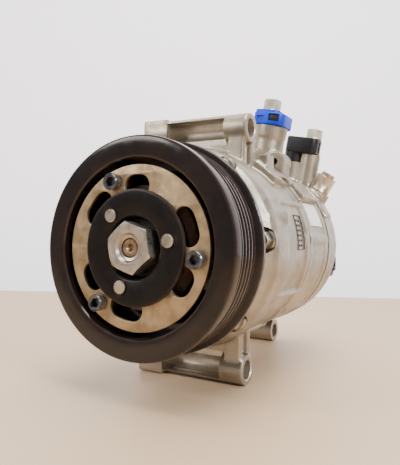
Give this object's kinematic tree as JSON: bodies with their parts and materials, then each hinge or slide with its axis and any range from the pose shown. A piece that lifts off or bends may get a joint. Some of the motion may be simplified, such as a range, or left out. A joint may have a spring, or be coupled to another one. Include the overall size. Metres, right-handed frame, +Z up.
{
  "type": "automotive ac compressor",
  "caption": "Belt-driven clutchless air-conditioning compressor with a ribbed pulley, cast aluminium casings, mounting lugs and capped hose ports.",
  "frame": {"origin": "on the surface it stands on, under the middle of its bounding box", "axes": "+Z up, the shaft along Y with the pulley at the -Y end, +X to the right seen from the pulley end"},
  "size_m": [0.114, 0.2022, 0.1763],
  "materials": {
    "cast_aluminium": "cast, lightly blasted",
    "machined_steel": "ground",
    "hub_steel": "sintered and zinc plated",
    "black_paint": "gloss e-coat, worn bright on the edges",
    "black_disc": "satin e-coat",
    "yellow_zinc": "yellow passivated zinc",
    "black_screw": "black oxide",
    "seal_rubber": "moulded",
    "blue_plastic": "moulded",
    "black_plastic": "moulded",
    "plated_bolt": "zinc plated",
    "relief_steel": "nickel plated",
    "white_label": "printed film, blank"
  },
  "bodies": {
    "casing": {"front_housing": "cast_aluminium", "front_gasket": "seal_rubber", "cylinder_block": "cast_aluminium", "rear_gasket": "machined_steel", "valve_plate": "machined_steel", "rear_housing": "cast_aluminium", "bearing_inner_ring": "machined_steel", "bearing_snap_ring": "machined_steel", "shaft_seal": "seal_rubber", "front_radial_bearing": "machined_steel", "front_thrust_bearing": "machined_steel", "rear_radial_bearing": "machined_steel", "suction_cap": "blue_plastic", "suction_cap_bolt": "plated_bolt", "discharge_cap": "black_plastic", "discharge_cap_bolt": "plated_bolt", "relief_valve": "relief_steel", "control_valve": "black_plastic", "label": "white_label", "through_bolt_1": "plated_bolt", "through_bolt_2": "plated_bolt", "through_bolt_3": "plated_bolt", "through_bolt_4": "plated_bolt", "through_bolt_5": "plated_bolt", "through_bolt_6": "plated_bolt", "through_bolt_7": "plated_bolt", "piston_1": "machined_steel", "piston_2": "machined_steel", "piston_3": "machined_steel", "piston_4": "machined_steel", "piston_5": "machined_steel", "piston_6": "machined_steel", "piston_7": "machined_steel"},
    "rotor": {"pulley": "black_paint", "bearing_outer_ring": "machined_steel", "damper_plate": "yellow_zinc", "centre_disc": "black_disc", "hub": "hub_steel", "shaft": "machined_steel", "lug_plate": "machined_steel", "hinge_pin": "machined_steel", "swash_plate": "machined_steel", "return_spring": "machined_steel", "plate_screw_1": "black_screw", "plate_screw_2": "black_screw", "plate_screw_3": "black_screw", "rivet_1": "hub_steel", "rivet_2": "hub_steel", "rivet_3": "hub_steel"},
    "ball_cage": {"bearing_ball_cage": "machined_steel"},
    "valve_spool": {"control_valve_spool": "machined_steel"}
  },
  "joints": [
    {"name": "drive_spin", "type": "hinge", "parent": "casing", "child": "rotor", "pos_m": [0, -0.09715, 0.077], "axis": [0, 1, 0], "continuous": true},
    {"name": "cage_spin", "type": "hinge", "parent": "casing", "child": "ball_cage", "pos_m": [0, -0.07615, 0.077], "axis": [0, 1, 0], "continuous": true},
    {"name": "spool_slide", "type": "slide", "parent": "casing", "child": "valve_spool", "axis": [1, 0, 0], "range_m": [0, 0.0015], "stiffness_N_per_m": 400, "springref_m": -0.002}
  ],
  "couplings": [
    {"joint": "cage_spin", "follows": "drive_spin", "ratio": 0.5622}
  ]
}
